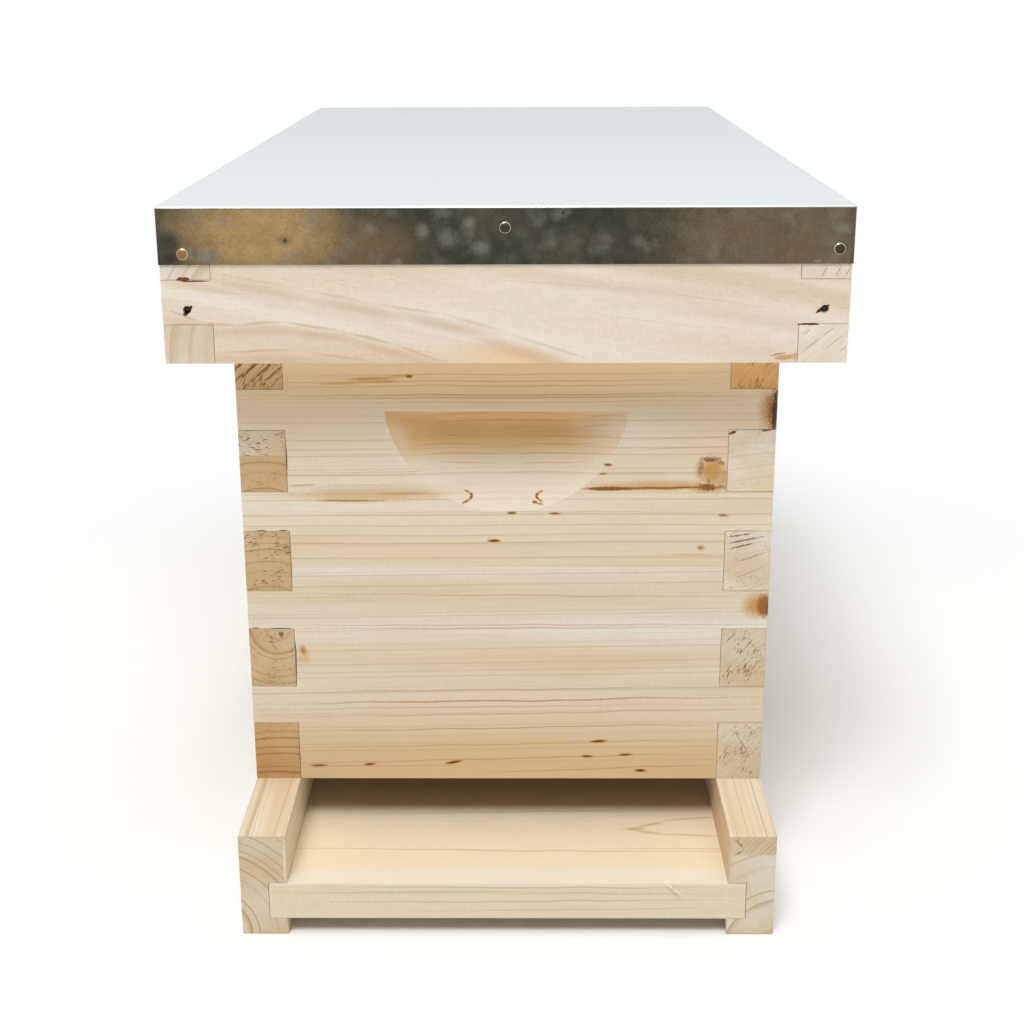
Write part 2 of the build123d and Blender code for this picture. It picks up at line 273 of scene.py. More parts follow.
def sawn_wood(name, look, pale, tan, ring, late=0.7, snap=0.04, wave=5.0, flecks=0.3, paints=()):
    """Planed softwood. Rings run round each stave's pith, so faces show lines and ends show arcs."""
    material, node, shader = start_material(name)
    log = node("Attribute", output="Vector", attribute_name="log")
    cut = node("Attribute", output="Vector", attribute_name="cut")
    end = node("SeparateXYZ", [cut])
    spacing, contrast = end.node.outputs["Y"], end.node.outputs["Z"]
    tone = node("Attribute", output="Vector", attribute_name="tone")
    torn = node("Attribute", output="Fac", attribute_name="torn")

    def streaks(scale, *noise, output=None):
        """Noise that is drawn out along the log."""
        drawn = node("VectorMath MULTIPLY", [log, scale])
        return node("TexNoise", [drawn, *noise], output=output)

    # A stem isn't straight, so its rings waver over a hand's breadth
    drift = streaks((1 / 260, 1 / 60, 1 / 60), 1.0, 2.0, 0.5, output="Color")
    drift = node("VectorMath SUBTRACT", [drift, (0.5, 0.5, 0.5)])
    bent = node("VectorMath MULTIPLY_ADD", [drift, (0, wave, wave), log])
    bent = node("VectorMath MULTIPLY", [bent, (0, 1, 1)])
    radius = node("VectorMath LENGTH", [bent])

    # Rings crowd together outwards, and good and bad years make them uneven
    age = node("Math DIVIDE", [radius, spacing])
    age = node("Math POWER", [age, 1.5])
    years = node("TexNoise", [age, 0.55, 1.0], noise_dimensions="1D")
    age = node("Math MULTIPLY_ADD", [years, 2.0, age])
    season = node("Math FRACT", [age])
    year = node("Math FLOOR", [age])
    dense = node("MapRange SMOOTHSTEP", [season, late, 1 - snap, 0, 1])
    winter = node("MapRange SMOOTHSTEP", [season, 1 - snap, 1.0, 1, 0])
    summer = node("TexWhiteNoise", [year], noise_dimensions="1D")
    summer = node("MapRange", [summer, 0, 1, 0.25, 1])
    line = node("Math MULTIPLY", [dense, winter])
    line = node("Math MULTIPLY", [line, summer])
    line = node("Math MULTIPLY", [line, contrast])

    # Fibres about a millimetre wide, coarser than real ones so that they show
    fibre = streaks((1 / 40, 1.1, 1.1), 1.0, 3.0, 0.6)
    cloud = streaks((1 / 300, 1 / 24, 1 / 24), 1.0, 2.0)
    canal = streaks((1 / 22, 3.0, 3.0), 1.0, 0.0)
    canal = node("MapRange", [canal, 0.72, 0.82, 0, flecks])
    cluster = node("MapRange", [cloud, 0.4, 0.58, 0.45, 1])
    canal = node("Math MULTIPLY", [canal, cluster])

    band = node("MapRange", [cloud, 0.35, 0.68, 0, 1])
    wood = node("Mix RGBA", [band, pale, tan])
    wood = node("Mix RGBA", [line, wood, ring])
    wood = node("Mix RGBA", [canal, wood, look.amber])
    hatch = streaks((1.1, 0.3, 0.3), 1.0, 1.0)
    shade = node("Math MULTIPLY_ADD", [hatch, 0.6, fibre])
    shade = node("MapRange", [shade, 0.5, 1.1, 0.94, 1.045])
    wood = node("VectorMath MULTIPLY", [wood, shade])
    wood = node("VectorMath MULTIPLY", [wood, tone])

    # The saw tears end grain: it is darker, and has short tears along the rings in patches
    turned = node("SeparateXYZ", [bent], output="Y")
    turned = node("Math ARCTAN2", [turned, turned.node.outputs["Z"]])
    arc = node("Math MULTIPLY", [turned, radius])
    tear = node("CombineXYZ", [radius, arc])
    tear = node("VectorMath MULTIPLY", [tear, (1.5, 0.5, 0)])
    pit = node("TexNoise", [tear, 1.0, 1.0])
    patch = node("TexNoise", [log, 0.14, 1.0])
    pit = node("Math MULTIPLY_ADD", [patch, 0.5, pit])
    pit = node("MapRange", [pit, 0.9, 0.98, 0, 1])
    pit = node("Math MULTIPLY", [pit, torn])
    pit = node("Math MULTIPLY", [pit, end])
    soaked = node("VectorMath MULTIPLY", [wood, (0.86, 0.8, 0.72)])
    wood = node("Mix RGBA", [end, wood, soaked])
    wood = node("Mix RGBA", [pit, wood, look.pit])

    # Painted shade at the top of the handhold, where its ledge shades it, streaky along the fibres; the
    # handhold grows paler towards its foot
    dip = node("SeparateXYZ", [node("Attribute", output="Vector", attribute_name="dip")])
    ledge_shadow = node("MapRange", [fibre, 0.3, 0.7, 0.78, 1.0])
    ledge_shadow = node("Math MULTIPLY", [ledge_shadow, dip])
    wood = node("Mix RGBA", [ledge_shadow, wood, look.ledge_shade])
    wood = node("Mix RGBA", [dip.node.outputs["Y"], wood, look.fir])
    for paint, marks, ragged, soft in paints:
        wood = marked(node, wood, paint, marks, ragged=ragged, soft=soft)

    rough = node("MapRange", [fibre, 0.3, 0.7, 0.5, 0.66])
    rough = node("Math MULTIPLY_ADD", [end, 0.15, rough])
    relief = node("Math MULTIPLY_ADD", [line, 0.5, fibre])
    relief = node("Math MULTIPLY_ADD", [pit, -1.2, relief])
    bump = node("Bump", [0.5, 0.12 * MM, None, relief])
    wire(shader, base_color=wood, roughness=rough, normal=bump, specular_ior_level=0.3)
    return material


def planed(kind, use, look, **grain):
    """Planed fir or pine in its own three tones."""
    tones = [getattr(look, kind + part) for part in ("", "_tan", "_ring")]
    return sawn_wood(f"planed {kind}, {use}", look, *tones, **grain)


def plywood(use, look):
    """Plywood: broad, faint bands, because its veneer was peeled round the log."""
    tones = (look.veneer, look.fir_tan, look.fir_ring)
    return sawn_wood(f"plywood, {use}", look, *tones, late=0.3, wave=30, flecks=0.1)


# Frosty patches on the front of the sheet: x, z, half length, half height, tilt and strength
SHEET_FROST = (
    (-118.5, 288.5, 7, 4, 0, 0.8),
    (-112, 302, 5, 4, 0, 0.3),
    (-84, 289, 5, 3, 0, 0.35),
    (-139, 298, 1.5, 14, 0, 0.4),
    (134, 299, 5, 3, 0, 0.6),
    (-54, 299.4, 5, 4, 0, 0.4),
    (-62, 293.5, 4, 4, 0, 0.3),
    (-45, 306, 4, 3, 0, 0.4),
    (-33, 298.5, 4, 5, 0, 0.55),
    (-23, 295.5, 6, 6, 0, 0.55),
    (-24, 306, 5, 3, 0, 0.4),
    (-14, 302, 4, 3.5, 0, 0.5),
    (-10, 291.5, 6, 4, 0, 0.6),
    (6, 297.5, 5, 5, 0, 0.2),
    (16.5, 293.3, 4.5, 4.5, 0, 0.25),
    (26, 294.7, 5, 5, 0, 0.2),
    (53, 294.5, 5, 4, 0, 0.35),
    (124, 286.5, 2.5, 1.2, 0, 0.9),
)


def galvanised_sheet(look):
    """Hot-dipped zinc: pale on top, and on the bent sides a painted dark reflection of the room, with painted
    tan and brown reflections and frosty spots.
    """
    material, node, shader = start_material("galvanised sheet steel")
    place = node("TexCoord", output="Object")
    # Painted reflection: faces that look up keep the pale zinc, and the sides take a painted dark reflection
    up = node("SeparateXYZ", [node("NewGeometry", output="Normal")], output="Z")
    top = node("MapRange SMOOTHSTEP", [up, 0.1, 0.5, 0, 1])

    # Painted tan and brown reflections lie over the painted dark sides in patches some centimetres wide
    y = SHEET_FRONT
    painted_reflection = node("TexNoise", [place, 1 / (45 * MM), 2.0])
    painted_reflection = node("MapRange", [painted_reflection, 0.5, 0.75, 0, 0.5])
    side = node("Mix RGBA", [painted_reflection, look.dark_reflection, look.brown_reflection])
    side = marked(node, side, look.brown_reflection, [Mark((112, y, 292), (66, 30, 40), strength=0.9)], ragged=0.4)
    tan_reflection_marks = [Mark((-97, y, 298), (50, 30, 28)), Mark((-60, y, 292), (38, 30, 20), strength=0.3)]
    side = marked(node, side, look.tan, tan_reflection_marks, ragged=0.2, soft=0.8)
    # Patches of stronger painted dark reflection
    dark_reflection_marks = [
        Mark((-133.5, y, 294), (7.5, 9, 7), strength=0.95),
        Mark((-133, y, 288), (5.5, 9, 6)),
        Mark((-123.5, y, 290), (1.8, 6, 3.5), strength=0.6),
        Mark((-87.5, y, 294.6), (1.8, 4, 2.0), strength=0.9),
        Mark((-88, y, 295), (5, 4, 3.6), strength=0.4),
        Mark((-100, y, 309), (60, 9, 3), strength=0.35),
    ]
    side = marked(node, side, look.dark_reflection, dark_reflection_marks, ragged=0.4, soft=0.9)
    side = marked(node, side, look.frost, on_face(y, 6, SHEET_FROST), ragged=0.5, soft=0.9)

    # Frosty spots about 8 mm wide, some strong and some faint, and a fine grit over all
    warp = node("TexNoise", [place, 1 / (6 * MM), 2.0], output="Color")
    warp = node("VectorMath MULTIPLY_ADD", [warp, (9 * MM, 9 * MM, 9 * MM), place])
    spot = node("TexVoronoi", [warp, 1 / (9 * MM)])
    strength = node("SeparateXYZ", [spot.node.outputs["Color"]])
    strength = node("MapRange", [strength, 0.2, 1, 0, 0.5])
    spot = node("MapRange SMOOTHSTEP", [spot, 0.7, 0.05, 0, 1])
    spot = node("Math MULTIPLY", [spot, strength])
    side = node("Mix RGBA", [spot, side, look.frost])
    mottle = node("TexNoise", [place, 1 / (5 * MM), 4.0, 0.6])
    grit = node("TexNoise", [place, 1 / (0.8 * MM), 2.0, 0.7])
    shade = node("Math ADD", [mottle, grit])
    shade = node("MapRange", [shade, 0.65, 1.35, 0.75, 1.25])
    side = node("VectorMath MULTIPLY", [side, shade])

    # Painted shade: the pale top is darker towards the back
    back = node("SeparateXYZ", [place], output="Y")
    far_shade = node("MapRange", [back, -0.25, 0.3, 1.0, 0.8])
    shaded_top_zinc = node("VectorMath MULTIPLY", [look.zinc[:3], far_shade])
    zinc = node("Mix RGBA", [top, side, shaded_top_zinc])
    rough = node("MapRange", [grit, 0.3, 0.7, 0.32, 0.42])
    wire(shader, base_color=zinc, roughness=rough, metallic=1.0)
    return material


def nail_steel(look):
    """Bright drawn steel: each domed head has a painted highlight round its rim and a painted dark reflection
    in its middle.
    """
    material, node, shader = start_material("bright nail steel")
    place = node("TexCoord", output="Object")
    grit = node("TexNoise", [place, 1 / (0.5 * MM), 2.0])
    rim = node("Attribute", output="Fac", attribute_name="rim")
    rim = node("Math MULTIPLY_ADD", [grit, 0.2, rim])
    rim = node("MapRange SMOOTHSTEP", [rim, 0.86, 0.98, 0, 1])
    # Painted dark reflection in the middle of each head, with rust on one head
    dark_reflection = marked(node, look.nail_dark_reflection, look.rust, [Mark((-129, SHEET_FRONT, 289.5), (5, 5, 5))])
    # Painted highlight round the rim of each head
    steel = node("Mix RGBA", [rim, dark_reflection, look.nail])
    rough = node("MapRange", [grit, 0.3, 0.7, 0.25, 0.4])
    wire(shader, base_color=steel, roughness=rough, metallic=1.0)
    return material


def beeswax(look):
    """Pressed beeswax: warm yellow with a soft shine, dulled in patches by a paler powdery bloom."""
    material, node, shader = start_material("pressed beeswax")
    place = node("TexCoord", output="Object")
    cloud = node("TexNoise", [place, 1 / (28 * MM), 3.0])
    grain = node("TexNoise", [place, 1 / (0.9 * MM), 2.0])
    bloom = node("Math MULTIPLY_ADD", [grain, 0.35, cloud])
    bloom = node("MapRange SMOOTHSTEP", [bloom, 0.5, 0.95, 0, 1])
    haze = node("Math MULTIPLY", [bloom, 0.6])
    wax = node("Mix RGBA", [haze, look.wax, look.bloom])
    rough = node("MapRange", [bloom, 0, 1, 0.36, 0.54])
    wire(shader, base_color=wax, roughness=rough, specular_ior_level=0.4)
    return material


def seen_directly(node):
    """1 for rays from the camera, a reflection or a clear piece, and 0 for light that only bounces."""
    path = node("LightPath")
    seen = node("Math MAXIMUM", [path, path.node.outputs["Is Glossy Ray"]])
    return node("Math MAXIMUM", [seen, path.node.outputs["Is Transmission Ray"]])


def plain_floor(look):
    """Matt paper floor: it keeps the hive's shadow, and runs out to plain white where the camera sees it."""
    material, node, shader = start_material("matt paper floor")
    seen = seen_directly(node)
    paper = node("Mix RGBA", [seen, look.floor, (1, 1, 1, 1)])
    wire(shader, base_color=paper, roughness=0.9, specular_ior_level=0.0)
    away = node("VectorMath LENGTH", [node("TexCoord", output="Object")], output="Value")
    far = node("MapRange SMOOTHSTEP", [away, 0.3, 0.6, 0, 1])
    far = node("Math MULTIPLY", [far, seen])
    white = node("Emission", [(1, 1, 1, 1), 1.0])
    surface = node("MixShader", [far, shader.outputs["BSDF"], white])
    wire(material.node_tree.nodes["Material Output"], surface=surface)
    return material


def cad_copy(node):
    """A bmesh of a CAD node, with its loose triangles joined."""
    bm = bmesh.new()
    bm.from_mesh(frame["nodes"][node].data)
    bmesh.ops.remove_doubles(bm, verts=bm.verts, dist=WELD)
    return bm


def open_block(low, high, is_open):
    """A bmesh of a block between two corners, without the sides that are open."""
    bm = bmesh.new()
    place = Matrix.Translation((low + high) / 2) @ Matrix.Diagonal([*(high - low), 1])
    bmesh.ops.create_cube(bm, size=1, matrix=place)
    gone = [face for face in bm.faces if is_open(face.normal)]
    bmesh.ops.delete(bm, geom=gone, context="FACES_ONLY")
    return bm


def put(name, data):
    """Puts a mesh, a lamp or a camera into the scene."""
    thing = bpy.data.objects.new(name, data)
    bpy.context.scene.collection.objects.link(thing)
    return thing


def round_edges(bm, edges, width, segments):
    """Rounds edges with a bevel of this width."""
    bmesh.ops.bevel(
        bm,
        geom=edges,
        offset=width,
        offset_type="OFFSET",
        segments=segments,
        profile=0.5,
        affect="EDGES",
        clamp_overlap=False,
        material=-1,
    )


def ease_edges(bm, width, square_only):
    """Bevels the outward edges that a plane would take the sharpness off."""
    sharp = []
    for edge in bm.edges:
        if len(edge.link_faces) != 2 or not edge.is_convex or edge.calc_length() < 2 * MM:
            continue
        if edge.calc_face_angle() < radians(40):
            continue
        flat = all(max(abs(c) for c in face.normal) > SQUARE for face in edge.link_faces)
        if flat or not square_only:
            sharp.append(edge)
    round_edges(bm, sharp, width, 2)


def saw_log(bm, grain, staves):
    """Cuts the board along its glue lines and tells each face corner where in the log it lay."""
    along, across, through = ("xyz".index(axis) for axis in grain)
    for stave in staves[:-1]:
        point, normal = Vector(), Vector()
        point[across] = stave.top * MM
        normal[across] = 1
        everything = bm.verts[:] + bm.edges[:] + bm.faces[:]
        bmesh.ops.bisect_plane(bm, geom=everything, dist=WELD, plane_co=point, plane_no=normal)
    log = bm.loops.layers.float_vector.new("log")
    cut = bm.loops.layers.float_vector.new("cut")
    tone = bm.loops.layers.float_vector.new("tone")
    torn = bm.loops.layers.float.new("torn")
    for face in bm.faces:
        height = face.calc_center_median()[across] / MM
        stave = next((s for s in staves if height < s.top), staves[-1])
        turn = Euler((0, radians(stave.tilt[1]), radians(stave.tilt[0]))).to_matrix()
        end = stave.soak if abs(face.normal[along]) > 0.7 else 0.0
        for loop in face.loops:
            p = loop.vert.co / MM
            place = Vector((p[along], p[across] - stave.pith[0], p[through] - stave.pith[1]))
            loop[log] = turn @ place
            loop[cut] = (end, stave.spacing, stave.contrast)
            loop[tone] = stave.tone if end else [1 + 0.35 * (t - 1) for t in stave.tone]
            loop[torn] = stave.torn


def smooth_step(low, high, value):
    """0 up to low, 1 from high on, and a soft rise between."""
    t = min(max((value - low) / (high - low), 0), 1)
    return t * t * (3 - 2 * t)


def shade_handhold(bm, face_y):
    """Tells the handhold's corners how much painted shade they take from its ledge (x) and how much paler they
    grow towards its foot (y), from the ledge down.
    """
    dip = bm.loops.layers.float_vector.new("dip")
    for face in bm.faces:
        middle = face.calc_center_median() / MM
        inside = abs(middle.x) < DIP_HALF_WIDTH and DIP_FOOT < middle.z < DIP_LEDGE
        if not inside or abs(middle.y - face_y) <= 0.05:
            continue
        for loop in face.loops:
            x, _, z = loop.vert.co / MM
            fade = 1 - 0.65 * smooth_step(*SHADE_FADE_X, x)
            loop[dip] = (smooth_step(*SHADED_HEIGHTS, z) * fade, smooth_step(*PALER_HEIGHTS, z) * 0.4, 0)


def finish_piece(name, bm, material, node, all_smooth=False):
    """Makes an object of a bmesh with its material, on the body of the node that it replaces."""
    mesh = bpy.data.meshes.new(name)
    bm.to_mesh(mesh)
    bm.free()
    mesh.set_sharp_from_angle(angle=radians(25))
    for polygon in mesh.polygons:
        polygon.use_smooth = all_smooth or max(abs(c) for c in polygon.normal) < SQUARE
    mesh.materials.append(material)
    piece = put(name, mesh)
    body = next(b for b, nodes in frame["record"]["behaviour"]["bodies"].items() if node in nodes)
    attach(piece, body)
    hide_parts(node)
    return piece


def raise_splinter(bm):
    """A sliver that has lifted from the landing board's front edge."""
    root = Vector((67.6, RAIL_FRONT, FLOOR_TOP)) * MM
    tip = Vector((74.6, RAIL_FRONT - 2.4, 20.4)) * MM
    turn = (tip - root).to_track_quat("Z", "Y").to_matrix().to_4x4()
    bmesh.ops.create_cone(
        bm,
        cap_ends=True,
        segments=5,
        radius1=0.6 * MM,
        radius2=0.2 * MM,
        depth=(tip - root).length,
        matrix=Matrix.Translation((root + tip) / 2) @ turn,
    )


def board(node, material, grain, staves, square_only=True, dip_face=None, splinter=False):
    """A wooden piece: the CAD board with eased edges, sawn from its own place in the log."""
    bm = cad_copy(node)
    bmesh.ops.dissolve_limit(bm, angle_limit=radians(0.5), verts=bm.verts, edges=bm.edges)
    ease_edges(bm, bpy.context.scene.hive_wood.arris, square_only)
    if splinter:
        raise_splinter(bm)
    saw_log(bm, grain, staves)
    if dip_face is not None:
        shade_handhold(bm, dip_face)
    return finish_piece(f"{node}_wood", bm, material, node)


def chance_staves(node, grain, count=1, spacing=14.0, contrast=0.6, near=30.0):
    """Staves of a board that the photo doesn't show closely, drawn by the board's own name."""
    draw = random.Random(node)
    low, high = (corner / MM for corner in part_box(node))
    across, through = ("xyz".index(axis) for axis in grain[1:])
    step = (high[across] - low[across]) / count
    staves = []
    for i in range(count):
        top = low[across] + (i + 1) * step + draw.uniform(-0.15, 0.15) * step
        pith_across = top - step / 2 + draw.uniform(-1.5, 1.5) * step
        side = draw.choice((-1, 1))
        middle = (low[through] + high[through]) / 2
        pith_through = middle + side * draw.uniform(0.5, 1.5) * near
        light = draw.uniform(0.95, 1.03)
        warm = draw.uniform(0.96, 1.02)
        staves.append(
            Stave(
                top,
                (pith_across, pith_through),
                spacing * draw.uniform(0.8, 1.25),
                contrast * draw.uniform(0.7, 1.2),
                (light, light * (1 + warm) / 2, light * warm),
                (draw.uniform(-1.5, 1.5), draw.uniform(-2.0, 2.0)),
                draw.uniform(0.2, 0.8),
            )
        )
    return staves


# Marks of the front board: x, z, half length, half height, tilt and strength
# Partly the fir's own warmer tone and partly painted shade: a reddish band under the roof's overhang, with
# softer patches lower at the sides
FRONT_WARM_TONE_AND_SHADE = (
    (15, 250, 260, 44, -1, 0.8),
    (95, 210, 60, 24, 0, 0.4),
    (-90, 222, 60, 24, 0, 0.45),
)
FRONT_TAN = (
    (0, 40, 400, 92, 0, 0.75),
    (0, 106, 300, 14, -1, 0.5),
    (0, 161, 300, 11, 0, 0.3),
)
# Painted highlights along the top edge of the handhold's ledge and down its left edge, and a torn splinter at
# its left corner
FRONT_HIGHLIGHTS_AND_SPLINTER = (
    (-4, 219.5, 48, 0.4, 0, 0.8),
    (-52.5, 218, 2.6, 0.4, 40, 0.6),
    (-50.5, 209.5, 0.5, 5, 14, 0.4),
)
FRONT_LINES = (
    (0, 235.2, 130, 0.45, -0.3, 0.3),
    (0, 232.4, 130, 0.4, -0.3, 0.35),
    (0, 230.4, 130, 0.4, -0.2, 0.4),
    (0, 226.4, 130, 0.55, -0.2, 0.5),
    (10, 225.3, 130, 0.45, -0.2, 0.45),
    (0, 223.2, 130, 0.35, -0.2, 0.35),
    (-55, 200.6, 40, 0.3, -0.5, 0.35),
    (-30, 192.6, 85, 0.35, -0.4, 0.4),
    (-88, 186.3, 9, 0.5, -3, 0.6),
    (-62, 186.9, 30, 0.3, -0.5, 0.35),
    (0, 174.3, 130, 0.3, -0.1, 0.35),
    (85, 207.5, 40, 0.35, -3, 0.3),
    (80, 203, 40, 0.35, -3, 0.3),
    (0, 136, 130, 0.4, 0.4, 0.4),
    (0, 121.9, 130, 0.4, -0.2, 0.45),
    (0, 120.4, 130, 0.4, -0.2, 0.45),
    (0, 91.2, 130, 0.4, -1, 0.45),
    (0, 85.7, 130, 0.55, -1.1, 0.75),
    (-20, 82.6, 100, 0.35, -1, 0.4),
    (0, 79.4, 130, 0.4, -1.2, 0.5),
    (0, 72.4, 130, 0.45, -1.2, 0.6),
    (0, 64.2, 130, 0.4, -1.2, 0.45),
    (0, 57, 130, 0.45, -1.5, 0.5),
    (-60, 53.2, 60, 0.4, -0.5, 0.5),
    (40, 51.8, 70, 0.5, -2, 0.45),
)
# Painted light: paler patches within the handhold's painted shade, along its top and at its left end
SCOOP_PAINTED_LIGHT = (
    (-6, 217.4, 56, 2.8, 0, 0.4),
    (-46.5, 206, 8, 16, -22, 0.55),
    (-38, 196, 8, 4, 0, 0.35),
)
# Grain lines in the handhold; the two broad rows (half height 5 and 6) and the three streaks at its right end
# (x near 40) are painted shade that carries the ledge's painted shadow lower and frays it out
SCOOP_LINES_AND_SHADE = (
    (-4, 215.4, 44, 0.5, -0.5, 0.4),
    (0, 212.2, 46, 0.6, -1, 0.5),
    (6, 209.6, 40, 0.4, -1.5, 0.4),
    (-22, 206, 26, 0.6, 1.5, 0.45),
    (22, 206.2, 26, 0.6, -2.5, 0.45),
    (-22, 202.4, 26, 0.5, 2, 0.4),
    (22, 202.8, 26, 0.5, -3, 0.4),
    (-18, 198.4, 24, 0.5, 2.5, 0.35),
    (22, 198.9, 26, 0.5, -3.5, 0.35),
    (-16, 194.2, 22, 0.5, 3, 0.3),
    (20, 194.9, 24, 0.5, -4, 0.35),
    (14, 191, 26, 0.4, -4, 0.25),
    (12, 208.5, 36, 5, -0.3, 0.22),
    (-20, 208, 26, 6, 0, 0.2),
    (42, 216, 12, 0.9, -6, 0.35),
    (40, 211.6, 12, 0.7, -7, 0.3),
    (38, 207, 13, 0.8, -7, 0.3),
)
FRONT_AMBER = (
    (88, 192.3, 9.5, 9.5, 0, 0.86),
    (92.5, 190, 5.5, 8, 0, 0.7),
    (86, 185.2, 13, 3, 0, 0.9),
    (66, 186.2, 38, 3.4, -0.7, 0.6),
    (84.2, 157.7, 2.6, 1.8, 0, 0.8),
    (80, 154.5, 18, 1, 1, 0.35),
    (-91, 109.5, 2.8, 4.4, -20, 0.7),
    (-90.5, 106, 4.5, 3, 20, 0.35),
    (-57, 233.5, 16, 1.2, -1.5, 0.75),
    (-54, 232.2, 13, 1, -1, 0.65),
    (-70, 231.6, 14, 0.9, -1, 0.55),
    (-44, 234.6, 9, 1, -3, 0.6),
    (-60, 182.6, 52, 5, -0.5, 0.5),
    (-46, 182.9, 23, 1.6, -0.8, 0.7),
    (110, 131.5, 9, 8, 0, 0.85),
    (110.5, 219, 5.5, 12, 0, 0.7),
)
FRONT_KNOTS = (
    (87.2, 197.8, 5.4, 1.7, 0, 0.9),
    (83.2, 194, 1.9, 4.8, 8, 0.6),
    (86.4, 185.7, 6, 2.4, 0, 1),
    (86.9, 188.2, 1.2, 1.6, 0, 0.7),
    (92, 185.7, 4, 1.1, 0, 0.7),
    (91.5, 196.5, 2.4, 1.2, 20, 0.6),
    (83.6, 157.9, 1.3, 0.8, -40, 0.5),
    (-91, 110, 1.2, 1.8, 0, 0.6),
    (112.8, 219, 3.9, 11.8, 0, 0.9),
)
FRONT_RESIN = (
    (62.5, 185.2, 33, 0.55, -0.7, 0.8),
    (43.5, 184.8, 13.5, 1.05, -0.7, 0.9),
    (-40.8, 234.3, 1.8, 0.7, 0, 0.8),
    (-68, 179.6, 18, 0.45, 0, 0.5),
    (-17.1, 182.75, 1.6, 0.45, 27, 0.6),
    (-15.4, 181.55, 1.2, 0.55, 46, 0.9),
    (-15.4, 180.2, 1.2, 0.55, -48, 0.9),
    (-17.5, 178.8, 2, 0.45, -24, 0.75),
    (14.5, 182.7, 1.5, 0.45, -28, 0.6),
    (13, 181.5, 1.2, 0.55, -50, 0.9),
    (12.9, 180.2, 1.1, 0.55, 50, 0.9),
    (14.15, 179.2, 1.2, 0.45, 28, 0.6),
    (13.8, 177.8, 2, 0.4, 6, 0.5),
    (113.6, 131.5, 4.4, 6.6, 0, 0.75),
)
FRONT_PITCH = (
    (-5.3, 161.4, 3.6, 0.7, 0, 1),
    (2.1, 173.7, 2.6, 0.55, 0, 0.9),
    (20.3, 173.7, 3, 0.5, 0, 0.8),
    (11.9, 178.4, 1.3, 0.6, 0, 0.95),
    (42.9, 195.3, 2.2, 0.6, 0, 0.8),
    (40.8, 191.3, 2.2, 0.4, -4, 0.6),
    (93.7, 172.7, 3, 0.6, 0, 0.6),
    (40.6, 65.6, 4.6, 0.7, -4, 1),
    (35.3, 58.1, 3.4, 0.6, 0, 0.9),
    (52.5, 58.6, 4.2, 0.6, -2, 0.9),
    (59.9, 50.6, 3.2, 0.8, 0, 1),
    (-25.1, 55.1, 4.8, 0.8, -9, 0.95),
    (-62.8, 54.1, 3.2, 0.6, -6, 0.9),
    (-85.6, 53.6, 5, 0.55, 0, 0.85),
)
FRONT_BARK = (
    (113.8, 218.5, 1.9, 11, 0, 0.8),
    (115, 131, 1, 3.4, 0, 0.4),
    (-94.4, 60, 0.3, 13.5, 0, 0.8),
    (-94.4, 105, 0.3, 13, 0, 0.75),
    (-94.4, 198, 0.3, 8, 0, 0.75),
    (-100, 120.1, 5, 0.4, 0, 0.9),
    (-106, 210.8, 6, 0.3, 0, 0.7),
    (-94.4, 151, 0.3, 13, 0, 0.55),
    (-107, 165.6, 2.6, 0.35, 0, 0.8),
    (-97, 165.6, 2.2, 0.35, 0, 0.8),
    (-98.5, 138.4, 3.4, 0.3, 0, 0.6),
    (-111.5, 120.1, 1.6, 0.4, 0, 0.7),
    (-99, 74.2, 5, 0.3, 0, 0.4),
    (110, 210.8, 4, 0.35, 0, 0.7),
    (104, 165.6, 9, 0.3, 0, 0.6),
)

# Rows of torn grain and dark rings in the end grain of the box's sides and of the bottom board's rails
BLOCK_TEARS = (
    (-111, 240, 7, 0.9, -44, 0.8),
    (-106.5, 238, 9, 0.9, -43, 0.85),
    (-102, 236.5, 9, 0.8, -42, 0.75),
    (-97.5, 235.5, 8, 0.7, -42, 0.7),
    (-112, 234, 4, 0.6, -45, 0.7),
    (-100.5, 117.6, 1.6, 1.6, 0, 0.8),
    (-104.5, 87.5, 10, 0.3, 0, 0.4),
    (96.2, 209.9, 2.2, 0.8, -20, 1),
    (109.6, 210.3, 2.6, 0.5, -6, 0.9),
    (101, 163.6, 7, 0.5, -10, 0.8),
    (103, 161.3, 9, 0.5, -14, 0.85),
    (102, 158.6, 8, 0.5, -16, 0.8),
    (106, 153.5, 9, 0.4, -20, 0.45),
    (105, 146.5, 10, 0.35, -24, 0.4),
    (98.7, 116, 4.5, 0.5, -50, 0.5),
    (106, 112, 6.5, 0.4, -50, 0.45),
    (110, 103, 6.5, 0.4, -52, 0.45),
    (104.5, 66, 7, 0.25, 62, 0.4),
    (107.5, 61, 7, 0.25, 64, 0.4),
)
RAIL_TEARS = (
    (98.6, 43.4, 3.2, 0.4, 48, 0.85),
    (98.2, 39.2, 3.2, 0.4, -29, 0.8),
    (97.6, 45.4, 1.6, 0.5, -20, 0.6),
)

# Painted shade over the whole front of the landing board, and grain lines on it
LANDING_FRONT_SHADE = ((0, 15, 300, 13, 0, 0.07),)
LANDING_LINES = (
    (0, 22.6, 120, 0.5, 0.3, 0.4),
    (-40, 20.3, 70, 0.5, -0.6, 0.4),
    (40, 19.6, 70, 0.4, 0.4, 0.35),
    (0, 15.8, 130, 0.5, -0.4, 0.4),
    (30, 11.8, 90, 0.5, -0.5, 0.3),
)

# Grain of the rails and the floor seen from above, and painted bounce light on the rails' inner faces: x, y,
# half length, half width, tilt and strength
RAIL_GOLD = (
    (-100, -265, 6, 60, 0, 0.42),
    (-109, -265, 0.5, 60, 0, 0.6),
    (-106.8, -265, 0.4, 60, 0, 0.45),
    (98, -265, 1.6, 60, 0, 0.25),
)
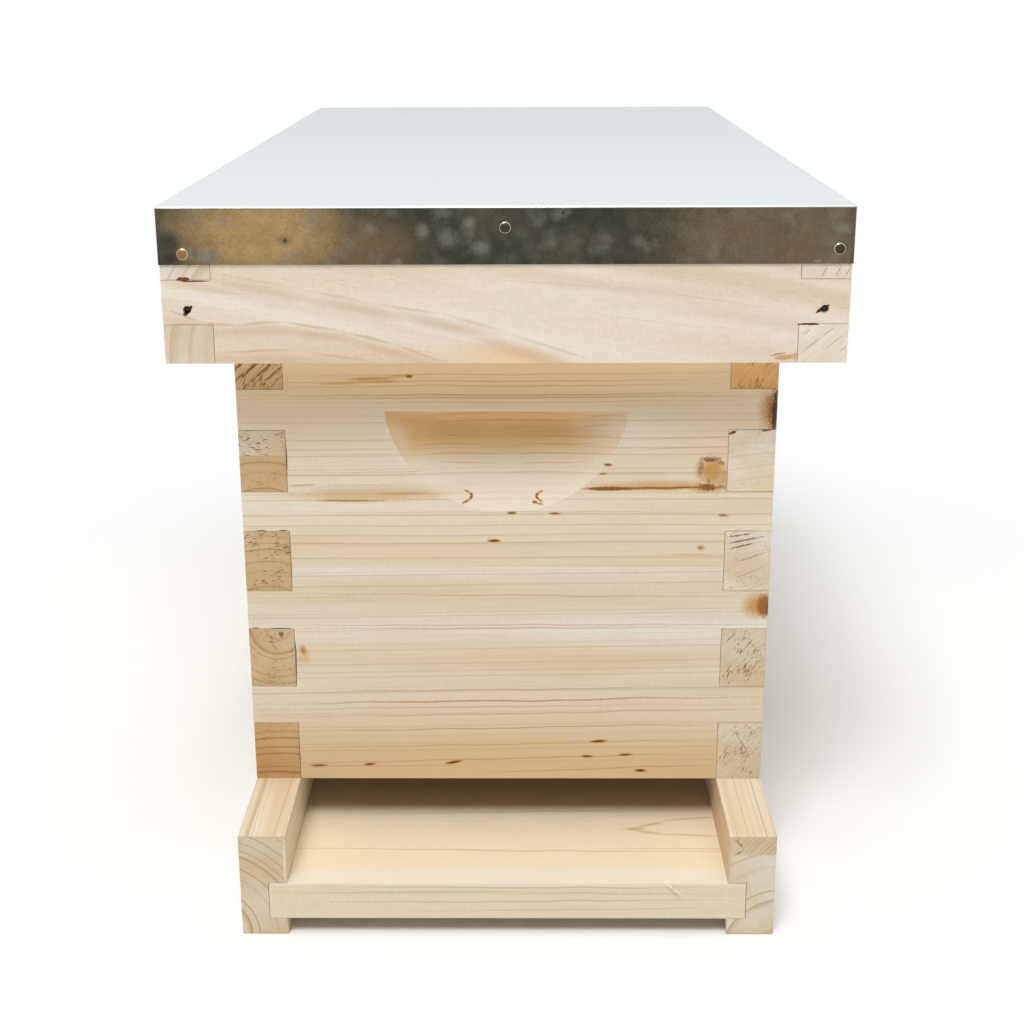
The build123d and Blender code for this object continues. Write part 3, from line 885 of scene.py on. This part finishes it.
# Painted golden bounce light on the rails' inner faces: lighter on the left, darker and more golden on the
# right
LEFT_RAIL_BOUNCE_LIGHT = ((-94.5, -265, 1.6, 70, 0, 0.7),)
RIGHT_RAIL_BOUNCE_LIGHT = ((94.5, -265, 1.6, 70, 0, 0.6),)
FLOOR_PALE = ((0, -290, 200, 16, 0, 0.75),)
FLOOR_LINES = (
    (0, -263.6, 180, 0.6, -0.8, 0.55),
    (75, -262.4, 50, 0.6, -0.8, 0.45),
    (0, -228, 120, 0.8, 1.5, 0.4),
)
FLOOR_LOOP = (
    (57.5, -244, 7, 2.6, 4, 0.55),
    (65, -239.6, 10.5, 1.7, 22, 0.5),
    (84, -234, 19, 1.4, 9, 0.45),
    (63, -247.2, 10, 1.7, -14, 0.5),
    (82, -250, 21, 1.4, -4, 0.45),
)

# The same for the roof's front rim
RIM_WARM = ((2, 246, 34, 9, 8, 0.65),)
RIM_BANDS = (
    (-98, 274.6, 42, 4.2, 12, 0.52),
    (-60, 267, 40, 4.2, 10, 0.6),
    (-25, 260.6, 38, 4.2, 13, 0.58),
    (6, 250, 36, 5, 17, 0.6),
    (-125, 260.4, 24, 3.4, 15, 0.58),
    (-100, 258, 30, 3.4, 0, 0.58),
    (-75, 256.4, 34, 3.4, 9, 0.58),
    (-48, 250, 34, 3.4, 15, 0.5),
    (-95, 246.4, 46, 4, 2, 0.55),
    (-115, 276, 30, 3, 5, 0.35),
    (60, 275, 70, 4, 5, 0.2),
    (85, 264, 70, 4, 8, 0.25),
)
RIM_LINES = (
    (-98, 278.3, 22, 0.9, 12, 0.35),
    (-67, 271.8, 19, 1, 11, 0.45),
    (-39, 267.2, 19, 1, 8, 0.45),
    (-13, 261.5, 18, 1, 17, 0.45),
    (18, 251.5, 24, 1, 18, 0.45),
    (-130, 265.2, 10, 0.9, 21, 0.65),
    (-116, 261.5, 13, 0.9, 7, 0.65),
    (-99, 261.3, 13, 0.9, -4, 0.65),
    (-78, 260, 17, 1, 10, 0.65),
    (-55, 255, 17, 1, 13, 0.6),
    (-35, 249, 15, 1, 20, 0.6),
    (-100, 250, 22, 0.9, -1, 0.65),
    (-67, 247.4, 19, 0.9, 9, 0.6),
    (-112, 274, 14, 0.5, 6, 0.35),
    (20, 277, 40, 0.6, 4, 0.25),
    (80, 271, 45, 0.6, 9, 0.3),
    (60, 262, 50, 0.5, 7, 0.2),
)
RIM_RINGS = (
    (123.3, 252.6, 5.2, 0.28, -38, 0.5),
    (130.4, 258, 4.6, 0.28, -37, 0.5),
    (132.8, 253.9, 7.2, 0.28, -40, 0.5),
    (121.2, 257.6, 2.6, 0.28, -44, 0.5),
    (136.5, 250.8, 2, 0.28, -38, 0.5),
    (127, 282.2, 3.2, 0.28, -66, 0.6),
    (132.4, 282.2, 3.2, 0.28, -63, 0.55),
    (136.4, 282.2, 3, 0.28, -63, 0.5),
)
RIM_AMBER = (
    (112.8, 247.2, 4.8, 1.3, -8, 0.7),
    (117, 247.8, 1.6, 1.8, 0, 0.5),
)
RIM_BARK = (
    (-127.9, 266.8, 3, 1, -48, 1),
    (127.2, 267.3, 3.4, 0.9, -33, 1),
)
RIM_TEARS = (
    (-129, 279.6, 3.2, 1, 0, 1),
    (-124.5, 278.7, 6.5, 0.35, 0, 1),
    (121.5, 260.9, 4.8, 0.5, 0, 1),
    (110, 248.4, 3, 0.3, -14, 0.7),
)


class HIVE_OT_brood_box(bpy.types.Operator):
    """Four finger-jointed boards, each glued up from narrow staves of fir"""

    bl_idname = "hive.brood_box"
    bl_label = "Brood box"

    def execute(self, context):
        look = context.scene.hive_wood
        paints = [
            # Partly painted shade under the roof's overhang
            (look.warm, on_face(BOX_FRONT, 3, FRONT_WARM_TONE_AND_SHADE), 0.2, 0.9),
            (look.tan, on_face(BOX_FRONT, 3, FRONT_TAN), 0.2, 0.9),
            (look.fir_ring, on_face(BOX_FRONT, 2, FRONT_LINES), 0.7, 0.6),
            # Painted highlights on the handhold's edges
            (look.fir, on_face(BOX_FRONT, 1, FRONT_HIGHLIGHTS_AND_SPLINTER), 0.4, 0.6),
            # Painted light in the handhold
            (look.fir, on_face(BOX_FRONT + DIP_MIDDLE, 2 * DIP_MIDDLE, SCOOP_PAINTED_LIGHT), 0.2, 0.9),
            # Grain lines and painted shade in the handhold
            (look.fir_ring, on_face(BOX_FRONT + DIP_MIDDLE, 2 * DIP_MIDDLE, SCOOP_LINES_AND_SHADE), 0.7, 0.8),
            (look.amber, on_face(BOX_FRONT, 10, FRONT_AMBER), 0.4, 0.8),
            (look.resin, on_face(BOX_FRONT, 6, FRONT_KNOTS), 1.0, 0.8),
            (look.amber, on_face(BOX_FRONT, 10, FRONT_RESIN, 0.4), 0.4, 0.6),
            (look.resin, on_face(BOX_FRONT, 10, FRONT_RESIN), 0.5, 0.5),
            (look.amber, on_face(BOX_FRONT, 6, FRONT_PITCH, 0.35), 0.4, 0.5),
            (look.pitch, on_face(BOX_FRONT, 6, FRONT_PITCH), 0.4, 0.8),
            (look.bark, on_face(BOX_FRONT, 6, FRONT_BARK), 0.9, 0.3),
        ]
        front = planed("fir", "box front", look, late=0.72, wave=4.0, flecks=0.0, paints=paints)
        tears = [(look.pit, on_face(BOX_FRONT, 4, BLOCK_TEARS), 1.6, 0.6)]
        fir = planed("fir", "box", look, wave=6.0, flecks=0.5, paints=tears)
        y = BOX_FRONT
        board(
            "box_front_board",
            front,
            "xzy",
            [
                Stave(149, (20, y - 14), 13.0, 0.5, (0.95, 0.97, 1.08), (-0.9, 0)),
                Stave(300, (112, y - 10), 14.5, 0.5, (0.98, 0.9, 0.8), (-0.3, 0)),
            ],
            dip_face=y,
        )
        left = [
            Stave(83, (-40, -104), 16.3, 0.9, (0.84, 0.64, 0.42), torn=0.3),
            Stave(129, (121, -101), 8.0, 0.7, (0.9, 0.79, 0.64), torn=0.7),
            Stave(175, (120, -104), 11.0, 0.6, (0.88, 0.75, 0.59), torn=0.8),
            Stave(199.6, (165, -104), 11.0, 0.8, (0.89, 0.74, 0.57), torn=0.3),
            Stave(220, (90, -120), 14.0, 0.3, (1.0, 0.97, 0.93), torn=1.0),
            Stave(300, (191, -59), 13.0, 0.8, (0.93, 0.75, 0.58), torn=0.9),
        ]
        right = [
            Stave(83, (20, 150), 10.0, 0.3, (1.0, 1.01, 1.0), torn=0.8, soak=0.9),
            Stave(129, (60, 150), 10.0, 0.3, (0.98, 0.98, 0.96), torn=0.9),
            Stave(172, (60, 140), 12.0, 0.3, (1.02, 1.06, 1.15), torn=0.8, soak=0.4),
            Stave(220, (60, 120), 14.0, 0.25, (1.07, 1.08, 1.09), torn=0.8, soak=0.3),
            Stave(300, (190, 150), 14.0, 0.3, (1.08, 0.77, 0.42), torn=0.7),
        ]
        board("box_left_board", fir, "yzx", left)
        board("box_right_board", fir, "yzx", right)
        staves = chance_staves("box_back_board", "xzy", 4, near=60)
        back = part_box("box_back_board")[1].y / MM
        board("box_back_board", fir, "xzy", staves, dip_face=back)
        return {"FINISHED"}


class HIVE_OT_bottom_board(bpy.types.Operator):
    """Grooved rails, the thin cap on the right rail, and the floor of planks"""

    bl_idname = "hive.bottom_board"
    bl_label = "Bottom board"

    def execute(self, context):
        look = context.scene.hive_wood
        paints = [
            # Painted shade over the front of the landing board
            (look.pit, on_face(RAIL_FRONT, 2, LANDING_FRONT_SHADE), 0.1, 0.3),
            (look.fir, on_top(FLOOR_TOP, 2, FLOOR_PALE), 0.1, 0.5),
            (look.fir_ring, on_top(FLOOR_TOP, 3, FLOOR_LINES), 0.4, 0.8),
            (look.amber, on_top(FLOOR_TOP, 3, FLOOR_LOOP), 0.3, 0.8),
            (look.fir_ring, on_face(RAIL_FRONT, 3, LANDING_LINES), 0.5, 0.8),
        ]
        golden = (look.landing, look.landing, look.fir_ring)
        landing = sawn_wood("planed fir, landing board", look, *golden, wave=4.0, flecks=0.2, paints=paints)
        paints = [
            (look.tan, on_top(RAIL_TOP, 3, RAIL_GOLD), 0.4, 0.6),
            # Painted bounce light on the rails' inner faces
            (look.landing, on_top(RAIL_SIDE_MIDDLE, RAIL_SIDE_HALF, LEFT_RAIL_BOUNCE_LIGHT), 0.1, 0.5),
            (look.tan, on_top(RAIL_SIDE_MIDDLE, RAIL_SIDE_HALF, RIGHT_RAIL_BOUNCE_LIGHT), 0.1, 0.5),
            (look.pit, on_face(RAIL_FRONT, 3, RAIL_TEARS), 0.9, 0.6),
        ]
        fir = planed("fir", "base", look, late=0.74, wave=4.0, flecks=0.1, paints=paints)
        rails = {
            "left_rail": Stave(100, (0.5, -129), 11.8, 0.8, torn=0.1),
            "right_rail": Stave(100, (-9.6, 120.4), 17.0, 0.6, (1.0, 1.05, 1.12), torn=0.0, soak=0.6),
            "right_rail_cap": Stave(100, (5, 150), 8.1, 0.9, torn=0.1),
        }
        for node, stave in rails.items():
            board(node, fir, "yzx", [stave])
        board("back_rail", fir, "xzy", chance_staves("back_rail", "xzy"))
        staves = [Stave(-200, (-252, FLOOR_TOP + 60), 30.0, 0.2, tilt=(0.8, 0), torn=0.2)]
        board("floor_plank_1", landing, "xyz", staves, splinter=True)
        for i in range(2, 6):
            node = f"floor_plank_{i}"
            staves = chance_staves(node, "xyz", near=25, contrast=0.45)
            board(node, fir, "xyz", staves)
        return {"FINISHED"}


def press_side(bm, low, high, side, cell, dimple):
    """Presses rows of six-sided dimples into one side of a wax sheet, and fills the margin round them."""
    x = high.x if side > 0 else low.x
    radius = cell / 3**0.5
    # The cells of one side sit between those of the other, so that side starts one radius higher
    start = Vector((x, low.y + 0.75 * cell, low.z + (2.2 if side > 0 else 1.2) * radius))
    columns = int((high.y - low.y - cell) / cell)
    pairs = int((high.z - start.z - 2.7 * radius) / (3 * radius)) + 1
    upright = Euler((radians(90), 0, radians(90))).to_matrix().to_4x4()
    ring = bmesh.ops.create_circle(
        bm, segments=6, radius=radius, cap_ends=True, matrix=Matrix.Translation(start) @ upright
    )["verts"]
    base = bmesh.ops.poke(bm, faces=ring[0].link_faces[:])
    bmesh.ops.translate(bm, verts=base["verts"], vec=(-side * dimple, 0, 0))
    cells = set(ring + base["verts"])
    along_row = ((0, cell, 0), columns)
    second_row = ((0, cell / 2, 1.5 * radius), 2)
    up_the_sheet = ((0, 0, 3 * radius), pairs)
    for step, count in (along_row, second_row, up_the_sheet):
        old = set(bm.verts) - cells
        faces = {face for vert in cells for face in vert.link_faces}
        edges = {edge for vert in cells for edge in vert.link_edges}
        bmesh.ops.spin(
            bm, geom=[*cells, *edges, *faces], axis=(1, 0, 0), dvec=step, steps=count - 1, use_duplicate=True
        )
        cells = set(bm.verts) - old
    bmesh.ops.remove_doubles(bm, verts=list(cells), dist=0.05 * MM)
    open_edges = [edge for edge in bm.edges if edge.is_boundary]
    flat = [edge for edge in open_edges if all(abs(v.co.x - x) < 0.01 * MM for v in edge.verts)]
    bmesh.ops.triangle_fill(bm, use_beauty=True, edges=flat, normal=(side, 0, 0))


def press_foundation(node, look):
    """A wax sheet pressed with cell bases on both sides."""
    low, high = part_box(node)
    bm = open_block(low, high, lambda normal: abs(normal.x) > 0.5)
    for side in (-1, 1):
        press_side(bm, low, high, side, look.cell, look.dimple)
    bmesh.ops.recalc_face_normals(bm, faces=bm.faces)
    return bm


class HIVE_OT_frames(bpy.types.Operator):
    """Five hanging frames: pine bars round a sheet of wax"""

    bl_idname = "hive.frames"
    bl_label = "Hanging frames"

    def execute(self, context):
        look = context.scene.hive_wood
        pine = planed("pine", "frames", look, late=0.55)
        metal = context.scene.hive_metal
        wax = beeswax(metal)
        first = "frame_1_foundation"
        pressed = press_foundation(first, metal)
        grains = {"top_bar": "yzx", "bottom_bar": "yzx", "front_end_bar": "zxy", "back_end_bar": "zxy"}
        for i in range(1, 6):
            for part, grain in grains.items():
                node = f"frame_{i}_{part}"
                board(node, pine, grain, chance_staves(node, grain), square_only=False)
            node = f"frame_{i}_foundation"
            copy = pressed.copy()
            bmesh.ops.translate(copy, verts=copy.verts, vec=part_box(node)[0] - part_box(first)[0])
            sheet = finish_piece(f"{node}_wax", copy, wax, node)
            sheet.data.shade_flat()
        pressed.free()
        return {"FINISHED"}


class HIVE_OT_inner_cover(bpy.types.Operator):
    """Four grooved strips round a plywood panel with the escape hole"""

    bl_idname = "hive.inner_cover"
    bl_label = "Inner cover"

    def execute(self, context):
        look = context.scene.hive_wood
        pine = planed("pine", "cover", look, late=0.55)
        veneer = plywood("cover", look)
        for side, grain in {"front": "xyz", "back": "xyz", "left": "yxz", "right": "yxz"}.items():
            node = f"inner_cover_{side}_strip"
            board(node, pine, grain, chance_staves(node, grain))
        node = "inner_cover_panel"
        board(node, veneer, "yxz", chance_staves(node, "yxz", 1, 60, 0.35, 20))
        return {"FINISHED"}


class HIVE_OT_roof(bpy.types.Operator):
    """Finger-jointed pine rim and the plywood deck"""

    bl_idname = "hive.roof"
    bl_label = "Roof"

    def execute(self, context):
        look = context.scene.hive_wood
        y = RIM_FRONT
        paints = [
            (look.warm, on_face(y, 6, RIM_WARM), 0.5, 0.8),
            (look.pine_ring, on_face(y, 6, RIM_BANDS), 0.3, 1.0),
            (look.pine_ring, on_face(y, 6, RIM_LINES), 0.5, 0.9),
            (look.amber, on_face(y, 6, RIM_AMBER), 0.5, 0.4),
            (look.pit, on_face(y, 6, RIM_TEARS), 0.9, 0.2),
            (look.bark, on_face(y, 6, RIM_BARK), 0.9, 0.2),
        ]
        broad = {"late": 0.25, "snap": 0.2, "wave": 14.0, "flecks": 0.6}
        front = planed("pine", "roof front", look, **broad, paints=paints)
        tears = [
            (look.resin, on_face(y, 6, RIM_RINGS), 0.3, 0.6),
            (look.pit, on_face(y, 6, RIM_TEARS), 0.9, 0.2),
        ]
        pine = planed("pine", "roof", look, late=0.6, snap=0.08, wave=8.0, flecks=0.6, paints=tears)
        veneer = plywood("deck", look)
        staves = [Stave(400, (222, y + 34), 24, 0.25, tilt=(7, 6))]
        board("roof_front_rim", front, "xzy", staves)
        staves = [Stave(400, (246, -78), 17, 0.7, (0.98, 1.02, 1.08), torn=0.1, soak=0.5)]
        board("roof_left_rim", pine, "yzx", staves)
        staves = [Stave(400, (288, 92), 14, 0.25, (1.03, 1.08, 1.14), torn=0.1, soak=0.1)]
        board("roof_right_rim", pine, "yzx", staves)
        staves = chance_staves("roof_back_rim", "xzy", 1, 24)
        board("roof_back_rim", pine, "xzy", staves)
        staves = chance_staves("roof_deck", "yxz", 1, 60, 0.35, 20)
        board("roof_deck", veneer, "yxz", staves)
        return {"FINISHED"}


class HIVE_OT_roof_sheet(bpy.types.Operator):
    """Galvanised sheet folded down over the roof's edges"""

    bl_idname = "hive.roof_sheet"
    bl_label = "Roof sheet"

    def execute(self, context):
        look = context.scene.hive_metal
        bm = open_block(*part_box("roof_sheet"), lambda normal: normal.z < -0.9)
        folds = [edge for edge in bm.edges if len(edge.link_faces) == 2]
        round_edges(bm, folds, look.bend, 5)
        piece = finish_piece("roof_sheet_metal", bm, galvanised_sheet(look), "roof_sheet")
        thick = piece.modifiers.new("sheet thickness", "SOLIDIFY")
        thick.thickness = look.gauge
        thick.offset = -1
        return {"FINISHED"}


def separate_solids(node):
    """The points of each separate solid of a CAD node."""
    bm = cad_copy(node)
    left, found = set(bm.verts), []
    while left:
        reached = [left.pop()]
        for vert in reached:
            for edge in vert.link_edges:
                other = edge.other_vert(vert)
                if other in left:
                    left.remove(other)
                    reached.append(other)
        found.append([vert.co.copy() for vert in reached])
    bm.free()
    return found


def turn_nail(bm, rim, points):
    """Turns one nail on its axis, as long and as wide as the CAD nail with these points."""
    low = Vector([min(p[i] for p in points) for i in range(3)])
    high = Vector([max(p[i] for p in points) for i in range(3)])
    middle = (low + high) / 2
    axis = max(range(3), key=lambda i: high[i] - low[i])
    way = Vector()
    way[axis] = 1
    radii = [((p - middle) - way * (p - middle)[axis]).length for p in points]
    head = max(radii)
    under = [p[axis] for p, r in zip(points, radii) if r > 0.99 * head]
    if abs(min(under) - low[axis]) < abs(max(under) - high[axis]):
        start, seat = low[axis], max(under)
    else:
        start, seat, way = high[axis], min(under), -way
    length, crown = high[axis] - low[axis], abs(seat - start)
    shank = 0.4 * head
    arc = [(head * sin(radians(a)), crown * (1 - cos(radians(a)))) for a in range(0, 91, 10)]
    profile = arc + [(shank, crown), (shank, length - 2 * shank), (0, length)]
    top = middle.copy()
    top[axis] = start
    side = way.orthogonal().normalized()
    line = [bm.verts.new(top + side * r + way * t) for r, t in profile]
    for vert, (r, t) in zip(line, profile):
        vert[rim] = r / head if t <= crown else 0.0
    edges = [bm.edges.new(pair) for pair in zip(line, line[1:])]
    turn = {"cent": middle, "axis": way, "angle": radians(360), "dvec": (0, 0, 0)}
    bmesh.ops.spin(bm, geom=line + edges, steps=24, use_merge=True, **turn)


class HIVE_OT_nails(bpy.types.Operator):
    """Nails of the sheet, the roof's rim and the rails"""

    bl_idname = "hive.nails"
    bl_label = "Nails"

    def execute(self, context):
        steel = nail_steel(context.scene.hive_metal)
        for node in ("roof_sheet_nails", "roof_rim_nails", "bottom_board_nails"):
            bm = bmesh.new()
            rim = bm.verts.layers.float.new("rim")
            for points in separate_solids(node):
                turn_nail(bm, rim, points)
            bmesh.ops.remove_doubles(bm, verts=bm.verts, dist=WELD)
            bmesh.ops.recalc_face_normals(bm, faces=bm.faces)
            finish_piece(f"{node}_steel", bm, steel, node, all_smooth=True)
        return {"FINISHED"}


class HIVE_OT_stage(bpy.types.Operator):
    """Pale floor, soft light and the camera"""

    bl_idname = "hive.stage"
    bl_label = "Stage"

    def execute(self, context):
        look = context.scene.hive_stage
        scene = context.scene
        scene.view_settings.view_transform = "Standard"

        bm = bmesh.new()
        below = Matrix.Translation((0, 0, -FLOOR_GAP))
        bmesh.ops.create_grid(bm, x_segments=1, y_segments=1, size=FLOOR_REACH, matrix=below)
        mesh = bpy.data.meshes.new("floor")
        bm.to_mesh(mesh)
        bm.free()
        mesh.materials.append(plain_floor(look))
        floor = put("floor", mesh)

        world = bpy.data.worlds.new("soft studio")
        world.use_nodes = True
        scene.world = world
        node = partial(add, world.node_tree)
        background = world.node_tree.nodes["Background"]
        seen = seen_directly(node)
        rise = node("SeparateXYZ", [node("TexCoord", output="Generated")], output="Z")
        dome = node("MapRange SMOOTHSTEP", [rise, 0.7, 0.98, 0, look.sky])
        low = node("MapRange SMOOTHSTEP", [rise, 0.13, 0.03, 0, look.glow])
        level = node("Math ADD", [low, dome])
        level = node("Mix FLOAT", [seen, level, 1.0])
        background.inputs["Color"].default_value = (1, 1, 1, 1)
        world.node_tree.links.new(level, background.inputs["Strength"])

        lamp = bpy.data.lights.new("softbox", "AREA")
        lamp.energy = look.key
        lamp.shape = "SQUARE"
        lamp.size = SOFTBOX_WIDTH
        softbox = put("softbox", lamp)
        side, height = radians(SOFTBOX_BEARING), radians(SOFTBOX_HEIGHT)
        way = Vector((sin(side) * cos(height), -cos(side) * cos(height), sin(height)))
        softbox.location = Vector(SOFTBOX_AIM) + SOFTBOX_AWAY * way
        softbox.rotation_euler = way.to_track_quat("Z", "Y").to_euler()

        lens = bpy.data.cameras.new("camera")
        lens.lens = look.lens
        lens.sensor_width = 36
        camera = put("camera", lens)
        pitch, yaw, roll = (radians(turn) for turn in CAMERA_TURN)
        ahead = Vector((-sin(yaw) * cos(pitch), cos(yaw) * cos(pitch), -sin(pitch)))
        turn = ahead.to_track_quat("-Z", "Y").to_matrix() @ Matrix.Rotation(roll, 3, "Z")
        camera.location = Vector(CAMERA_PLACE) * MM
        camera.rotation_euler = turn.to_euler()
        scene.camera = camera
        return {"FINISHED"}


OPERATORS = (
    HIVE_OT_stage,
    HIVE_OT_bottom_board,
    HIVE_OT_brood_box,
    HIVE_OT_frames,
    HIVE_OT_inner_cover,
    HIVE_OT_roof,
    HIVE_OT_roof_sheet,
    HIVE_OT_nails,
)
GROUPS = {"hive_wood": HiveWood, "hive_metal": HiveMetal, "hive_stage": HiveStage}


class HIVE_PT_panel(bpy.types.Panel):
    """Colours and sizes of the hive, and a button for each group of pieces"""

    bl_label = "Beehive"
    bl_space_type = "VIEW_3D"
    bl_region_type = "UI"
    bl_category = "Beehive"

    def draw(self, context):
        for name, group in GROUPS.items():
            box = self.layout.box()
            for key in group.__annotations__:
                box.prop(getattr(context.scene, name), key)
        for operator in OPERATORS:
            self.layout.operator(operator.bl_idname)


CLASSES = (*GROUPS.values(), *OPERATORS, HIVE_PT_panel)


def register():
    for item in CLASSES:
        bpy.utils.register_class(item)
    for name, group in GROUPS.items():
        setattr(bpy.types.Scene, name, bpy.props.PointerProperty(type=group))


def unregister():
    for name in GROUPS:
        delattr(bpy.types.Scene, name)
    for item in reversed(CLASSES):
        bpy.utils.unregister_class(item)


def main():
    """Dresses the hive."""
    register()
    for operator in OPERATORS:
        family, name = operator.bl_idname.split(".")
        getattr(getattr(bpy.ops, family), name)()


if __name__ == "__main__":
    main()
